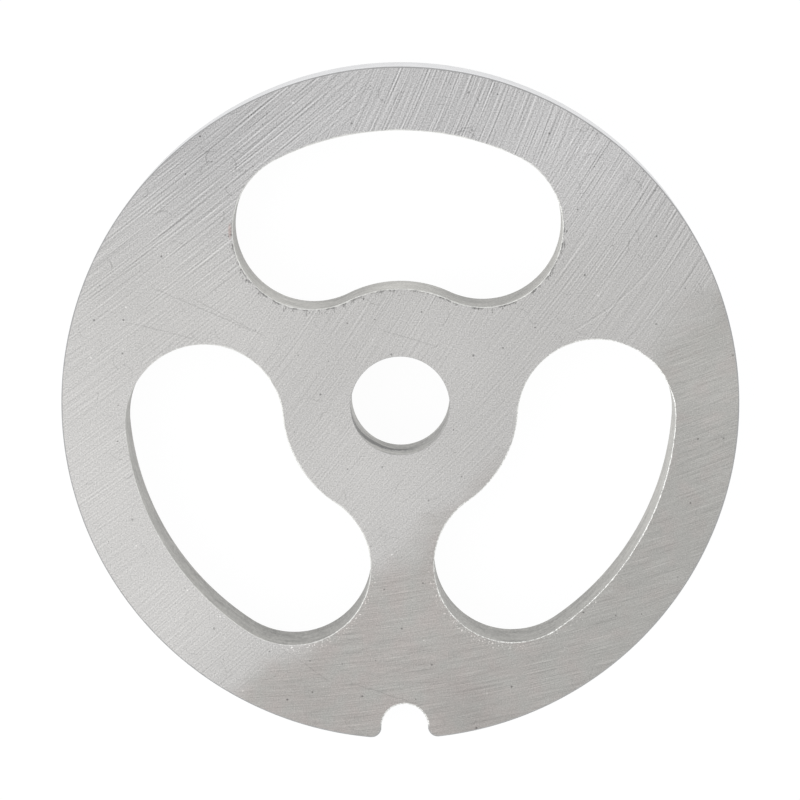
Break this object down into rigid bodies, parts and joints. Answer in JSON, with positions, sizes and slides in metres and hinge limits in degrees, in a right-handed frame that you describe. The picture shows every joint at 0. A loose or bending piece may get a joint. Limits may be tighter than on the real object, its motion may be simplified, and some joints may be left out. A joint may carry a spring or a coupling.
{
  "type": "meat grinder kidney plate",
  "caption": "Round flat ground-steel plate with wide kidney-shaped slots around a centre bore and a round-ended locating notch in the rim; lets meat through in coarse pieces.",
  "frame": {"origin": "centre of the bore at the back ground face, the face the plate lies on", "axes": "+Z along the bore axis, from the back face to the front face; +Y through the middle of one slot, opposite the rim notch; +X completes the right-handed frame"},
  "size_m": [0.082, 0.0818, 0.009],
  "materials": {
    "ground_steel": "surface-ground faces with crossing arc-shaped grinding lines, turned rim, as-cut slot walls"
  },
  "bodies": {
    "root": {"kidney_plate": "ground_steel"}
  },
  "joints": []
}
